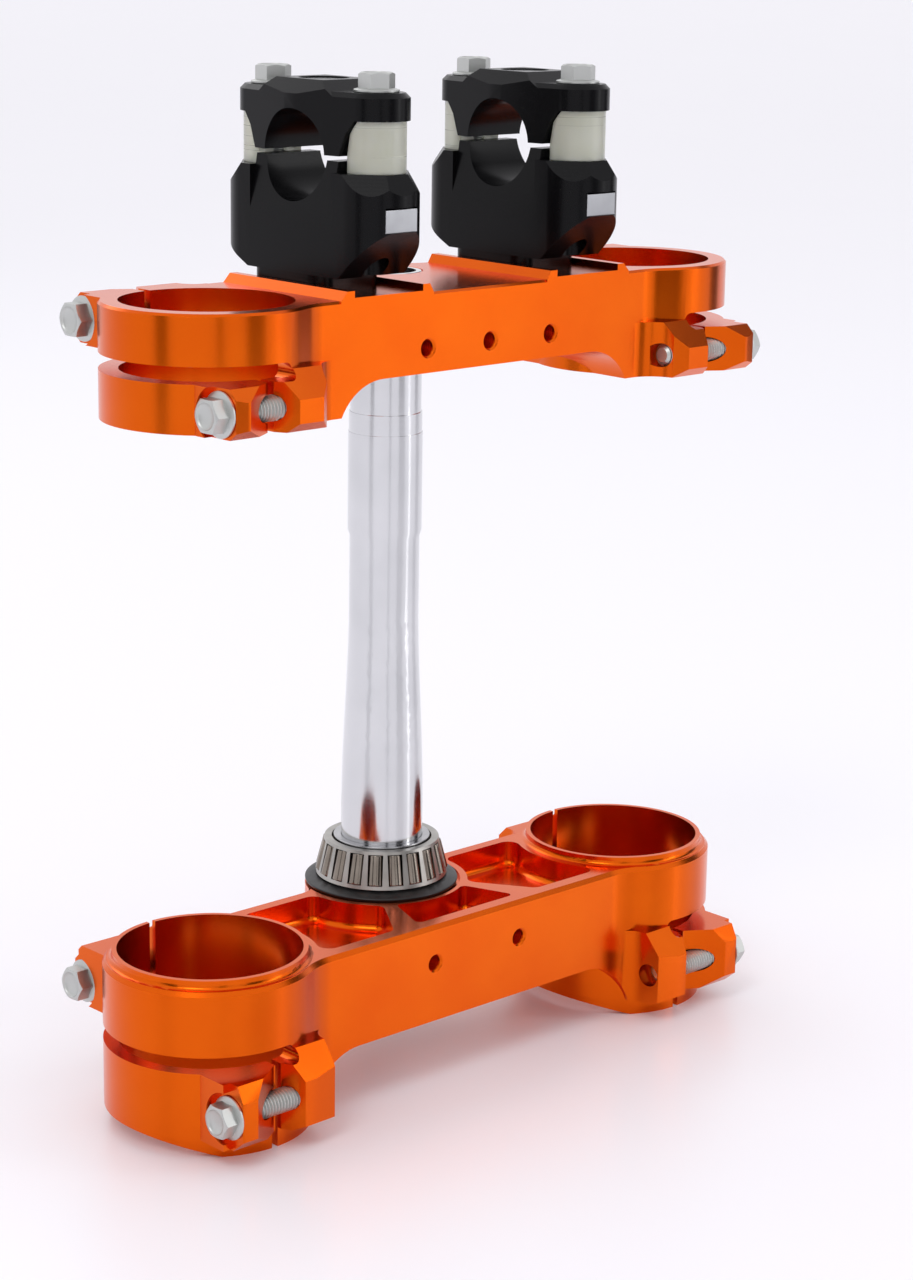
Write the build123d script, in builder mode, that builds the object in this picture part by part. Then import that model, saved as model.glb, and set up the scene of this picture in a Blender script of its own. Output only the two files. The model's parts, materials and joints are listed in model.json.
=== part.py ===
from build123d import *
import os
from math import cos, radians, sin, sqrt, tan

# Motorcycle triple clamp with damped handlebar mounts, all sizes in millimetres.
# X runs from fork to fork, +Y to the rear, Z up. The lower rings stand on Z = 0, the
# forks lie on Y = 0 and the stem stands a little behind them.

os.makedirs("parts", exist_ok=True)

# Driving dimensions of the layout
fork_x = 93.0
stem_offset = 22.0
fit_gap = 0.03
loose_gap = 0.3
beyond = 12.0
over = 1.0
reach = 120.0

# Lower clamp
low_bore_r = 30.0
low_wall = 4.6
collar_step = 1.6
low_collar_h = 6.5
collar_cut_u = 17.6
collar_cut_h = 5.2
low_arm_top = 28.7
low_slot_h = 5.3
low_top = 55.5
low_lip_wall = 1.6
low_lip_foot_w = 1.2
low_lip_h = 3.0
low_lip_blend = 1.7
low_edge = 1.4
low_front_y = 27.3
low_rear_y = 28.0
low_under_z = 22.0
low_under_x = 53.0
low_under_r = 20.0
low_front_blend = 25.0
low_rear_blend = 9.0
low_hole_x = 19.4
low_hole_z = 42.3

# Stem boss and pockets of the lower clamp
boss_r = 30.0
boss_rear_r = 26.5
boss_drop = 1.3
pocket_depth = 9.0
pocket_floor_r = 2.5
pocket_corner_r = 4.0
pocket_front_y = 21.5
pocket_rear_y = 22.5
pocket_far_x = 70.0
pocket_land = 2.0
rib_near_x = 14.0
rib_near_y = 7.0
rib_far_x = 33.0
crescent_near_x = 13.4
crescent_near_y = 2.5
crescent_far_x = 22.5

# Upper clamp
up_bore_r = 27.0
up_wall = 6.1
up_base = 230.6
up_arm_h = 15.2
up_slot_h = 5.2
up_h = 36.0
up_edge = 1.6
up_wall_edge = 0.8
up_front_y = 28.0
up_rear_y = 30.0
up_under_rise = 10.6
up_under_x = 45.7
up_under_r = 19.0
up_front_blend = 22.0
up_rear_blend = 12.0
up_boss_r = 20.5
up_hole_x = 27.0
up_hole_rise = 18.4

# Threaded holes in the front walls
m6_r = 2.5
m6_mouth = 0.7
m6_depth = 14.0

# Horizontal slots and vertical slits of the fork rings
slot_reach = 6.5
slit_w = 2.3
ear_root = 20.0
ear_core = 15.0
ear_reach = 50.0

# Ears of the lower clamp: lug outside the slit, boss inside, measured from the ring's centre
low_slit_u = 0.4
low_notch_v = 34.2
low_front_bolt_v = 36.5
low_front_bolt_drop = 11.4
low_rear_bolt_v = 38.6
low_rear_bolt_rise = 6.9
low_lug_in = 15.3
low_lug_corner = 20.6
low_lug_out = 24.0
low_lug_side_v = 42.0
low_lug_end = 43.0
low_lug_under_v = 38.0
low_lug_foot = 4.1
low_lug_brow = 5.4
low_lug_top_v = 40.3
low_boss_out = 4.6
low_boss_corner = 9.1
low_boss_in = 17.8
low_boss_side_v = 41.0
low_boss_end = 42.2
low_boss_foot = 2.0
low_boss_brow = 8.8
low_boss_top_v = 35.0
low_boss_drop = 1.4
low_boss_blend = 7.0
low_rear_corner = 22.0
low_rear_end = 44.3
low_rear_under_v = 40.0
low_rear_foot = 3.5
low_rear_brow = 7.1
low_rear_top_v = 36.8
low_rear_boss_end = 42.0

# Ears of the upper clamp
up_slit_u = 2.1
up_notch_v = 33.0
up_front_bolt_v = 32.6
up_front_bolt_drop = 7.9
up_rear_bolt_v = 34.3
up_rear_bolt_rise = 7.7
up_lug_in = 15.7
up_lug_corner = 17.0
up_rear_corner = 19.5
up_lug_out = 23.3
up_lug_side_v = 39.0
up_rear_side_v = 35.2
up_ear_end = 40.5
up_ear_under_v = 36.7
up_ear_foot = 2.9
up_ear_brow = 3.8
up_rear_top_v = 36.5
up_boss_out = 3.1
up_boss_corner = 12.5
up_boss_in = 16.5
up_boss_side_v = 37.0
up_boss_brow = 5.0
up_boss_drop = 2.0
up_boss_blend = 10.0
up_rear_blend_r = 6.0

# Flange bolts
m8_r = 4.0
m8_flats = 10.0
flange_r = 7.1
flange_t = 0.9
hex_h = 5.1
dish_r = 3.9
dish_depth = 0.9
clearance_r = 4.4
seat_depth = 2.7
spot_r = 8.6
low_tip_u = 13.5
up_tip_u = 17.4

# Steering stem
stem_foot_r = 15.0
stem_seat_r = 14.0
stem_waist_r = 11.8
stem_upper_r = 12.5
stem_band_r = 12.3
stem_top_r = 11.9
stem_bore_r = 9.6
stem_foot_drop = 1.5
stem_seat_rise = 28.5
stem_waist_drop = 76.6
stem_cone_h = 2.0
stem_upper_drop = 51.2
stem_band_drop = 17.7
stem_neck_drop = 10.9
stem_edge = 0.6

# Lower bearing and its seal
seal_t = 1.5
seal_r = 26.5
seal_rise = 3.6
seal_foot_w = 1.4
seal_lip_h = 0.7
cone_h = 16.0
cone_rib_r = 19.8
cone_small_r = 16.7
roller_count = 19
roller_tilt = 13.0
roller_mid_r = 19.2
roller_mid_h = 8.6
roller_l = 10.4
roller_big_r = 2.75
roller_small_r = 2.45
roller_gap = 0.1
cage_t = 0.9
cage_low_r = 22.7
cage_low_h = 2.6
cage_top_h = 15.3
cage_window_w = 5.15
cage_flange_r = 17.3

# Handlebar mounts
mount_x = 43.6
mount_y = 3.45
bar_r = 14.3
bar_h = 40.9
bar_bolt_pitch = 49.3
channel_rise = 0.7
channel_half = 14.1
rib_rise = 2.8
rib_w = 2.9
rib_inner_run = 1.7
rib_outer_run = 2.6
base_half_w = 14.0
base_end_r = 13.6
base_flat = 10.5
shoulder_h = 36.7
base_h = 40.1
base_front_h = 20.2
base_rear_h = 13.2
foot_h = 4.7
foot_l = 34.4
foot_w = 27.0
foot_shift = 3.15
foot_corner = 6.0
foot_land = 0.5
horn_half_w = 10.8
horn_h = 21.9
horn_s = 19.5
cap_inset = 0.3
cap_end_r = 10.5
cap_flat = 3.0
cap_low_h = 41.7
wing_low_h = 52.6
wing_t = 8.4
wing_rim = 1.5
plateau_h = 3.1
cap_plateau_s = 11.0
cap_plateau_half = 10.0
cap_slope_s = 15.5
cap_side_drop = 4.4
lip_out = 20.0
lip_mid = 22.8
lip_mid_h = 48.7
lip_root = 26.0
recess_r = 8.0
recess_depth = 0.5
elastomer_r = 9.4
elastomer_cut = 21.2
end_run = 2.0
nut_w = 13.0
nut_low_h = 19.3
nut_h = 7.1
nut_slot_gap = 0.6
nut_l = 17.0
nut_inset = 1.6
bolt_past = 3.0
screw_r = 5.0
screw_head_r = 8.0
screw_head_h = 6.0
screw_hex_r = 4.6
screw_hex_depth = 4.0
screw_reach = 16.0
screw_tip_gap = 2.0
washer_r = 10.0
washer_t = 2.0
washer_gap = 1.0
screw_recess = 9.0

# Values worked out from the sizes above
low_ring_r = low_bore_r + low_wall
low_collar_r = low_ring_r - collar_step
low_lip_r = low_bore_r + low_lip_wall
low_lip_foot_r = low_ring_r - low_lip_foot_w
low_slot_top = low_arm_top + low_slot_h
low_front_bolt_z = low_arm_top - low_front_bolt_drop
low_rear_bolt_z = low_slot_top + low_rear_bolt_rise
low_boss_top = low_slot_top - low_boss_drop
low_rear_top = low_top - low_edge
low_clear = low_top + low_lip_h + over
up_ring_r = up_bore_r + up_wall
up_top = up_base + up_h
up_under_z = up_base + up_under_rise
up_hole_z = up_base + up_hole_rise
up_arm_top = up_base + up_arm_h
up_slot_top = up_arm_top + up_slot_h
up_front_bolt_z = up_arm_top - up_front_bolt_drop
up_rear_bolt_z = up_slot_top + up_rear_bolt_rise
up_boss_top = up_slot_top - up_boss_drop
boss_top = low_top - boss_drop
bearing_z = boss_top + seal_t
stem_foot_top = low_top - stem_foot_drop
stem_seat_top = low_top + stem_seat_rise
stem_waist_z = up_base - stem_waist_drop
stem_upper_z = up_base - stem_upper_drop
stem_band_z = up_base - stem_band_drop
stem_neck_z = up_base - stem_neck_drop
channel_z = up_top + channel_rise
rib_top = up_top + rib_rise
rib_root = up_top - 2 * channel_rise
foot_z = channel_z + foot_h
base_rear_z = channel_z + base_rear_h
base_front_z = channel_z + base_front_h
nut_low = channel_z + nut_low_h
nut_high = nut_low + nut_h
horn_z = channel_z + horn_h
base_shoulder_z = channel_z + shoulder_h
base_top = channel_z + base_h
bar_z = channel_z + bar_h
cap_base = channel_z + cap_low_h
lip_mid_z = channel_z + lip_mid_h
cap_wing_z = channel_z + wing_low_h
cap_wing_top = cap_wing_z + wing_t
cap_plateau_z = cap_wing_top + plateau_h
cap_side_z = cap_plateau_z - cap_side_drop
cap_half_w = base_half_w - cap_inset
bolt_s = bar_bolt_pitch / 2
rib_start = mount_x - channel_half - rib_w - rib_inner_run
hex_corner_r = m8_flats / sqrt(3)


def upright(x, y=0.0):
    """Plane whose local x runs outward along X and local y up, at a vertical axis."""
    return Plane(origin=(x, y, 0), x_dir=(1, 0, 0), z_dir=(0, -1, 0))


def outline(points, radii=()):
    """A closed outline of straight sides, with named corners rounded off."""
    with BuildSketch(mode=Mode.PRIVATE) as shape:
        with BuildLine():
            Polyline(*points, close=True)
        make_face()
        for corner, radius in radii:
            fillet(shape.vertices().sort_by_distance(corner)[0], radius=radius)
    return shape.sketch


def ear(side, plan, profile, radii=()):
    """A block on the right ring: plan holds (u, v) from the ring's centre, profile (v, z)."""
    levels = [z for v, z in profile]
    corners = [((fork_x + u, side * v), r) for u, v, r in radii]
    with BuildPart() as block:
        with BuildSketch(Plane.XY.offset(min(levels))):
            add(outline([(fork_x + u, side * v) for u, v in plan], corners))
        extrude(amount=max(levels) - min(levels))
        with BuildSketch(Plane.YZ.offset(fork_x - ear_reach)):
            add(outline([(side * v, z) for v, z in profile]))
        extrude(amount=2 * ear_reach, mode=Mode.INTERSECT)
    return block.part


def lug_plan(slit_u, notch_v, inner, corner, end_v, side_v, outer):
    """Plan of the lug under the bolt's head, with its slanted side at the notch."""
    return (
        (slit_u, ear_root),
        (slit_u, notch_v),
        (slit_u + slit_w / 2, notch_v),
        (inner, end_v),
        (corner, end_v),
        (outer, side_v),
        (outer, ear_root),
    )


def boss_plan(slit_u, notch_v, outer, corner, end_v, side_v, inner, root_v, blend):
    """Plan of the tapped boss on the other side of the slit, blended into the wall."""
    return (
        (slit_u, ear_root),
        (slit_u, notch_v),
        (slit_u - slit_w / 2, notch_v),
        (-outer, end_v),
        (-corner, end_v),
        (-inner, side_v),
        (-inner - slit_w / 2, root_v),
        (-inner - slit_w / 2 - blend, root_v),
        (-inner - slit_w / 2 - blend, ear_root),
    )


def flange_bolt(seat, length):
    """A hexagon flange bolt; the seat plane lies under the flange and faces the head."""
    with BuildSketch(seat) as shape:
        Circle(flange_r)
    extrude(shape.sketch, amount=flange_t)
    with BuildSketch(seat.offset(flange_t)) as shape:
        RegularPolygon(hex_corner_r, 6)
    extrude(shape.sketch, amount=hex_h)
    with BuildSketch(seat.offset(flange_t + hex_h)) as shape:
        Circle(dish_r)
    extrude(shape.sketch, amount=-dish_depth, taper=35, mode=Mode.SUBTRACT)
    with BuildSketch(seat) as shape:
        Circle(m8_r)
    extrude(shape.sketch, amount=-length)


def revolved(points, x, y, radii=()):
    """A ring turned about the vertical axis through (x, y); points are (radius, height)."""
    with BuildSketch(upright(x, y)) as shape:
        add(outline(points, radii))
    revolve(shape.sketch, axis=Axis((x, y, 0), (0, 0, 1)))


def underside(flat_x, radius, flat_z, floor_z):
    """Everything under the bridge between the rings, with its round ends."""
    end_x = flat_x + sqrt(radius**2 - (radius - flat_z + floor_z) ** 2)
    with BuildSketch(upright(0)) as shape:
        with BuildLine():
            Line((0, floor_z), (0, flat_z))
            Line((0, flat_z), (flat_x, flat_z))
            RadiusArc((flat_x, flat_z), (end_x, floor_z), radius)
            Line((end_x, floor_z), (0, floor_z))
        make_face()
    extrude(shape.sketch, amount=reach, both=True, mode=Mode.SUBTRACT)


def slot_cut(low, high):
    """The horizontal saw slot that parts the two arms of a ring, with its round end."""
    end_r = (high - low) / 2
    with BuildSketch(upright(fork_x)) as shape:
        with Locations((beyond * 2, (low + high) / 2)):
            SlotOverall(2 * (beyond * 2 + slot_reach), 2 * end_r)
    extrude(shape.sketch, amount=reach, both=True, mode=Mode.SUBTRACT)


def box_cut(x_low, x_high, y_low, y_high, z_low, z_high):
    """A plain rectangular cut between the given faces."""
    with BuildSketch(Plane.XY.offset(z_low)) as shape:
        with Locations(((x_low + x_high) / 2, (y_low + y_high) / 2)):
            Rectangle(x_high - x_low, y_high - y_low)
    extrude(shape.sketch, amount=z_high - z_low, mode=Mode.SUBTRACT)


def along_x(x, y, z, direction=1):
    """Plane across X, facing outward or inward."""
    return Plane(origin=(x, y, z), x_dir=(0, direction, 0), z_dir=(direction, 0, 0))


def pinch_holes(side, v, z, lug_out, boss_in, slit_u):
    """Spot face and clearance hole through the lug, thread through the boss."""
    y = side * v
    with BuildSketch(along_x(fork_x + lug_out - seat_depth, y, z)) as shape:
        Circle(spot_r)
    extrude(shape.sketch, amount=seat_depth + beyond, mode=Mode.SUBTRACT)
    # The seat runs out past the end of the lug
    seat_x = fork_x + lug_out - seat_depth
    near_y, far_y = sorted((y, y + side * beyond))
    low_z, high_z = z - 2 * spot_r, z + 2 * spot_r
    box_cut(seat_x, seat_x + beyond, near_y, far_y, low_z, high_z)
    with BuildSketch(along_x(fork_x + lug_out, y, z, -1)) as shape:
        Circle(clearance_r)
    extrude(shape.sketch, amount=lug_out - slit_u, mode=Mode.SUBTRACT)
    with BuildSketch(along_x(fork_x + slit_u, y, z, -1)) as shape:
        Circle(m8_r + fit_gap)
    extrude(shape.sketch, amount=slit_u + boss_in + m8_r, mode=Mode.SUBTRACT)


def wall_hole(x, y, z):
    """A tapped hole in a front wall with a countersunk mouth."""
    mouth = Plane(origin=(x, -y, z), x_dir=(1, 0, 0), z_dir=(0, -1, 0))
    with BuildSketch(mouth) as shape:
        Circle(m6_r)
    extrude(shape.sketch, amount=-m6_depth, mode=Mode.SUBTRACT)
    with BuildSketch(mouth) as shape:
        Circle(m6_r + m6_mouth)
    extrude(shape.sketch, amount=-m6_mouth, taper=45, mode=Mode.SUBTRACT)


# Ears of the lower clamp
low_lug_profile = (
    (ear_core, low_collar_h),
    (low_lug_under_v, low_collar_h),
    (low_lug_end, low_collar_h + low_lug_foot),
    (low_lug_end, low_arm_top - low_lug_brow),
    (low_lug_top_v, low_arm_top),
    (ear_core, low_arm_top),
)
low_boss_profile = (
    (ear_core, low_collar_h),
    (low_lug_under_v, low_collar_h),
    (low_boss_end, low_collar_h + low_boss_foot),
    (low_boss_end, low_boss_top - low_boss_brow),
    (low_boss_top_v, low_boss_top),
    (ear_core, low_boss_top),
)
low_rear_profile = (
    (ear_core, low_slot_top),
    (low_rear_under_v, low_slot_top),
    (low_rear_end, low_slot_top + low_rear_foot),
    (low_rear_end, low_rear_top - low_rear_brow),
    (low_rear_top_v, low_rear_top),
    (ear_core, low_rear_top),
)
low_notch = (low_slit_u, low_notch_v)
low_boss_side = (low_boss_side_v, low_boss_in)
low_front_lug = ear(
    -1,
    lug_plan(
        *low_notch, low_lug_in, low_lug_corner, low_lug_end, low_lug_side_v, low_lug_out
    ),
    low_lug_profile,
)
low_front_boss = ear(
    -1,
    boss_plan(
        *low_notch,
        low_boss_out,
        low_boss_corner,
        low_boss_end,
        *low_boss_side,
        low_front_y,
        low_boss_blend,
    ),
    low_boss_profile,
    ((-low_boss_in - slit_w / 2, low_front_y, low_boss_blend),),
)
low_rear_lug = ear(
    1,
    lug_plan(
        *low_notch, low_lug_in, low_rear_corner, low_rear_end, low_lug_side_v, low_lug_out
    ),
    low_rear_profile,
)
low_rear_boss = ear(
    1,
    boss_plan(
        *low_notch,
        low_boss_out,
        low_boss_corner,
        low_rear_boss_end,
        *low_boss_side,
        low_rear_y,
        low_boss_blend,
    ),
    low_rear_profile,
    ((-low_boss_in - slit_w / 2, low_rear_y, low_boss_blend),),
)

with BuildPart() as lower_half:
    with BuildSketch(Plane.XY.offset(low_collar_h)) as web:
        with Locations((fork_x / 2, 0)):
            Rectangle(fork_x, low_front_y * 2)
        with Locations((fork_x / 2, low_rear_y / 2)):
            Rectangle(fork_x, low_rear_y)
        with Locations((fork_x, 0)):
            Circle(low_ring_r)
        with Locations((0, stem_offset)):
            Circle(boss_rear_r)
        split(bisect_by=Plane.YZ)
        front_x = fork_x - sqrt(low_ring_r**2 - low_front_y**2)
        rear_x = fork_x - sqrt(low_ring_r**2 - low_rear_y**2)
        flare_x = sqrt(boss_rear_r**2 - (low_rear_y - stem_offset) ** 2)
        fillet(web.vertices().sort_by_distance((front_x, -low_front_y))[0], radius=low_front_blend)
        fillet(web.vertices().sort_by_distance((rear_x, low_rear_y))[0], radius=low_rear_blend)
        fillet(web.vertices().sort_by_distance((flare_x, low_rear_y))[0], radius=low_rear_blend)
    extrude(amount=low_top - low_collar_h)
    top_edges = lower_half.faces().sort_by(Axis.Z)[-1].outer_wire().edges()
    chamfer(top_edges.filter_by(lambda e: e.center().X > fit_gap), length=low_edge)
    add(low_front_boss)
    underside(low_under_x, low_under_r, low_under_z, low_collar_h)
    with BuildSketch(Plane.XY.offset(low_collar_h)):
        with Locations((fork_x, 0)):
            Circle(low_ring_r)
    extrude(amount=low_arm_top)
    with BuildSketch(Plane.XY):
        with Locations((fork_x, 0)):
            Circle(low_collar_r)
    extrude(amount=low_collar_h)
    revolved(
        (
            (low_bore_r - over, low_top - over),
            (low_bore_r - over, low_top + low_lip_h),
            (low_lip_r, low_top + low_lip_h),
            (low_lip_r, low_top),
            (low_lip_foot_r, low_top),
            (low_lip_foot_r, low_top - over),
        ),
        fork_x,
        0,
        (((low_lip_r, low_top), low_lip_blend),),
    )
    add(low_front_lug)
    add(low_rear_lug)
    add(low_rear_boss)
    # The end face of the collar rises towards both sides of the ring
    with BuildSketch(upright(fork_x)) as rise:
        for hand in (-1, 1):
            add(
                outline(
                    (
                        (hand * collar_cut_u, 0),
                        (hand * low_collar_r, collar_cut_h),
                        (hand * (low_collar_r + over), collar_cut_h),
                        (hand * (low_collar_r + over), -over),
                        (hand * collar_cut_u, -over),
                    )
                )
            )
    extrude(rise.sketch, amount=reach, both=True, mode=Mode.SUBTRACT)
    with BuildSketch(Plane.XY.offset(-over)):
        with Locations((fork_x, 0)):
            Circle(low_bore_r)
    extrude(amount=low_clear + over, mode=Mode.SUBTRACT)
    slot_cut(low_arm_top, low_slot_top)
    slit_mid = low_arm_top + low_slot_h / 2
    slit_x = fork_x + low_slit_u
    box_cut(slit_x - slit_w / 2, slit_x + slit_w / 2, -reach, 0, -over, slit_mid)
    box_cut(slit_x - slit_w / 2, slit_x + slit_w / 2, 0, reach, slit_mid, low_clear)
    low_holes = (low_lug_out, low_boss_in, low_slit_u)
    pinch_holes(-1, low_front_bolt_v, low_front_bolt_z, *low_holes)
    pinch_holes(1, low_rear_bolt_v, low_rear_bolt_z, *low_holes)
    # Side pocket between the rib, the stem boss and the ring
    with BuildSketch(Plane.XY.offset(low_top - pocket_depth)) as side_pocket:
        add(
            outline(
                (
                    (rib_near_x, rib_near_y),
                    (rib_far_x, -pocket_front_y),
                    (pocket_far_x, -pocket_front_y),
                    (pocket_far_x, pocket_rear_y),
                    (rib_near_x, pocket_rear_y),
                )
            )
        )
        with Locations((0, stem_offset)):
            Circle(boss_r, mode=Mode.SUBTRACT)
        with Locations((fork_x, 0)):
            Circle(low_lip_foot_r + pocket_land, mode=Mode.SUBTRACT)
        fillet(side_pocket.vertices(), radius=pocket_corner_r)
    extrude(amount=pocket_depth + over, mode=Mode.SUBTRACT)

with BuildPart() as lower_clamp:
    add(lower_half.part)
    mirror(about=Plane.YZ)
    # Crescent pocket in front of the stem boss
    with BuildSketch(Plane.XY.offset(low_top - pocket_depth)) as crescent:
        add(
            outline(
                (
                    (-crescent_near_x, crescent_near_y),
                    (-crescent_far_x, -pocket_front_y),
                    (crescent_far_x, -pocket_front_y),
                    (crescent_near_x, crescent_near_y),
                )
            )
        )
        with Locations((0, stem_offset)):
            Circle(boss_r - over, mode=Mode.SUBTRACT)
        fillet(crescent.vertices(), radius=pocket_corner_r / 2)
    extrude(amount=pocket_depth + over, mode=Mode.SUBTRACT)
    floor_faces = lower_clamp.faces().filter_by(Axis.Z)
    floor_faces = floor_faces.filter_by_position(
        Axis.Z, low_top - pocket_depth - fit_gap, low_top - pocket_depth + fit_gap
    )
    fillet(floor_faces.edges(), radius=pocket_floor_r)
    with BuildSketch(Plane.XY):
        with Locations((0, stem_offset)):
            Circle(stem_foot_r + fit_gap)
    extrude(amount=low_top + over, mode=Mode.SUBTRACT)
    with BuildSketch(Plane.XY.offset(boss_top)):
        with Locations((0, stem_offset)):
            Circle(boss_rear_r + over)
    extrude(amount=boss_drop + over, mode=Mode.SUBTRACT)
    wall_hole(low_hole_x, low_front_y, low_hole_z)
    wall_hole(-low_hole_x, low_front_y, low_hole_z)
lower_clamp.part.label = "lower_clamp"
export_step(lower_clamp.part, "parts/lower_clamp.step")

# Ears of the upper clamp
up_lug_profile = (
    (ear_core, up_base),
    (up_ear_under_v, up_base),
    (up_ear_end, up_base + up_ear_foot),
    (up_ear_end, up_arm_top - up_ear_brow),
    (up_ear_under_v, up_arm_top),
    (ear_core, up_arm_top),
)
up_boss_profile = (
    (ear_core, up_base),
    (up_ear_under_v, up_base),
    (up_ear_end, up_base + up_ear_foot),
    (up_ear_end, up_arm_top - up_boss_brow),
    (up_ring_r, up_boss_top),
    (ear_core, up_boss_top),
)
up_rear_profile = (
    (ear_core, up_slot_top),
    (up_ear_under_v, up_slot_top),
    (up_ear_end, up_slot_top + up_ear_foot),
    (up_ear_end, up_top - up_ear_brow),
    (up_rear_top_v, up_top),
    (ear_core, up_top),
)
up_notch = (up_slit_u, up_notch_v)
up_boss_shape = (up_boss_out, up_boss_corner, up_ear_end, up_boss_side_v, up_boss_in)
up_front_lug = ear(
    -1,
    lug_plan(*up_notch, up_lug_in, up_lug_corner, up_ear_end, up_lug_side_v, up_lug_out),
    up_lug_profile,
)
up_front_boss = ear(
    -1,
    boss_plan(*up_notch, *up_boss_shape, up_front_y, up_boss_blend),
    up_boss_profile,
    ((-up_boss_in - slit_w / 2, up_front_y, up_boss_blend),),
)
up_rear_lug = ear(
    1,
    lug_plan(*up_notch, up_lug_in, up_rear_corner, up_ear_end, up_rear_side_v, up_lug_out),
    up_rear_profile,
)
up_rear_boss = ear(
    1,
    boss_plan(*up_notch, *up_boss_shape, up_rear_y, up_rear_blend_r),
    up_rear_profile,
    ((-up_boss_in - slit_w / 2, up_rear_y, up_rear_blend_r),),
)

with BuildPart() as upper_half:
    with BuildSketch(Plane.XY.offset(up_base)) as bridge:
        with Locations((fork_x / 2, (up_rear_y - up_front_y) / 2)):
            Rectangle(fork_x, up_front_y + up_rear_y)
        with Locations((fork_x, 0)):
            Circle(up_ring_r)
        with Locations((0, stem_offset)):
            Circle(up_boss_r)
        split(bisect_by=Plane.YZ)
        front_x = fork_x - sqrt(up_ring_r**2 - up_front_y**2)
        rear_x = fork_x - sqrt(up_ring_r**2 - up_rear_y**2)
        flare_x = sqrt(up_boss_r**2 - (up_rear_y - stem_offset) ** 2)
        fillet(bridge.vertices().sort_by_distance((front_x, -up_front_y))[0], up_front_blend)
        fillet(bridge.vertices().sort_by_distance((rear_x, up_rear_y))[0], up_rear_blend)
        fillet(bridge.vertices().sort_by_distance((flare_x, up_rear_y))[0], up_rear_blend)
    extrude(amount=up_top - up_base)
    top_edges = upper_half.faces().sort_by(Axis.Z)[-1].outer_wire().edges()
    chamfer(top_edges.filter_by(lambda e: e.center().X > fit_gap), length=up_wall_edge)
    add(up_front_boss)
    underside(up_under_x, up_under_r, up_under_z, up_base)
    # Channels for the handlebar mounts between raised ribs
    with BuildSketch(upright(0, up_rear_y - up_wall_edge)):
        add(
            outline(
                (
                    (rib_start, rib_root),
                    (rib_start, up_top),
                    (rib_start + rib_inner_run, rib_top),
                    (mount_x - channel_half, rib_top),
                    (mount_x - channel_half, channel_z),
                    (mount_x + channel_half, channel_z),
                    (mount_x + channel_half, rib_top),
                    (mount_x + channel_half + rib_w, rib_top),
                    (mount_x + channel_half + rib_w + rib_outer_run, up_top),
                    (mount_x + channel_half + rib_w + rib_outer_run, rib_root),
                )
            )
        )
    extrude(amount=up_front_y + up_rear_y - up_wall_edge)
    with BuildSketch(Plane.XY.offset(up_base)):
        with Locations((fork_x, 0)):
            Circle(up_ring_r)
    extrude(amount=up_top - up_edge - up_base)
    with BuildSketch(Plane.XY.offset(up_top - up_edge)):
        with Locations((fork_x, 0)):
            Circle(up_ring_r)
    extrude(amount=up_edge, taper=45)
    add(up_front_lug)
    add(up_rear_lug)
    add(up_rear_boss)
    with BuildSketch(Plane.XY.offset(up_base - over)):
        with Locations((fork_x, 0)):
            Circle(up_bore_r)
    extrude(amount=up_top - up_base + beyond, mode=Mode.SUBTRACT)
    slot_cut(up_arm_top, up_slot_top)
    slit_mid = up_arm_top + up_slot_h / 2
    slit_x = fork_x + up_slit_u
    box_cut(slit_x - slit_w / 2, slit_x + slit_w / 2, -reach, 0, up_base - over, slit_mid)
    box_cut(slit_x - slit_w / 2, slit_x + slit_w / 2, 0, reach, slit_mid, up_top + over)
    up_holes = (up_lug_out, up_boss_in, up_slit_u)
    pinch_holes(-1, up_front_bolt_v, up_front_bolt_z, *up_holes)
    pinch_holes(1, up_rear_bolt_v, up_rear_bolt_z, *up_holes)
    # Hole and recess for the screw that holds the mount from below
    with BuildSketch(Plane.XY.offset(up_base)):
        with Locations((mount_x, mount_y + foot_shift)):
            Circle(screw_r + loose_gap)
    extrude(amount=rib_top - up_base, mode=Mode.SUBTRACT)
    with BuildSketch(Plane.XY.offset(up_base)):
        with Locations((mount_x, mount_y + foot_shift)):
            Circle(washer_r + washer_gap)
    extrude(amount=up_under_z + screw_recess - up_base, mode=Mode.SUBTRACT)
    wall_hole(up_hole_x, up_front_y, up_hole_z)

with BuildPart() as upper_clamp:
    add(upper_half.part)
    mirror(about=Plane.YZ)
    with BuildSketch(Plane.XY.offset(up_base)):
        with Locations((0, stem_offset)):
            Circle(stem_top_r + fit_gap)
    extrude(amount=up_top, mode=Mode.SUBTRACT)
    wall_hole(0, up_front_y, up_hole_z)
upper_clamp.part.label = "upper_clamp"
export_step(upper_clamp.part, "parts/upper_clamp.step")

with BuildPart() as steering_stem:
    with BuildSketch(upright(0, stem_offset)):
        with BuildLine():
            Polyline(
                (stem_bore_r, low_under_z),
                (stem_foot_r - stem_edge, low_under_z),
                (stem_foot_r, low_under_z + stem_edge),
                (stem_foot_r, stem_foot_top),
                (stem_seat_r, stem_foot_top),
                (stem_seat_r, stem_seat_top),
            )
            Spline(
                (stem_seat_r, stem_seat_top),
                (stem_waist_r, stem_waist_z),
                tangents=((0, 1), (0, 1)),
                tangent_scalars=(1.0, 1.0),
            )
            Polyline(
                (stem_waist_r, stem_waist_z),
                (stem_waist_r, stem_upper_z - stem_cone_h),
                (stem_upper_r, stem_upper_z),
                (stem_upper_r, stem_band_z),
                (stem_band_r, stem_band_z),
                (stem_band_r, stem_neck_z),
                (stem_top_r, stem_neck_z),
                (stem_top_r, up_top - stem_edge),
                (stem_top_r - stem_edge, up_top),
                (stem_bore_r, up_top),
                (stem_bore_r, low_under_z),
            )
        make_face()
    revolve(axis=Axis((0, stem_offset, 0), (0, 0, 1)))
steering_stem.part.label = "steering_stem"
export_step(steering_stem.part, "parts/steering_stem.step")

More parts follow.
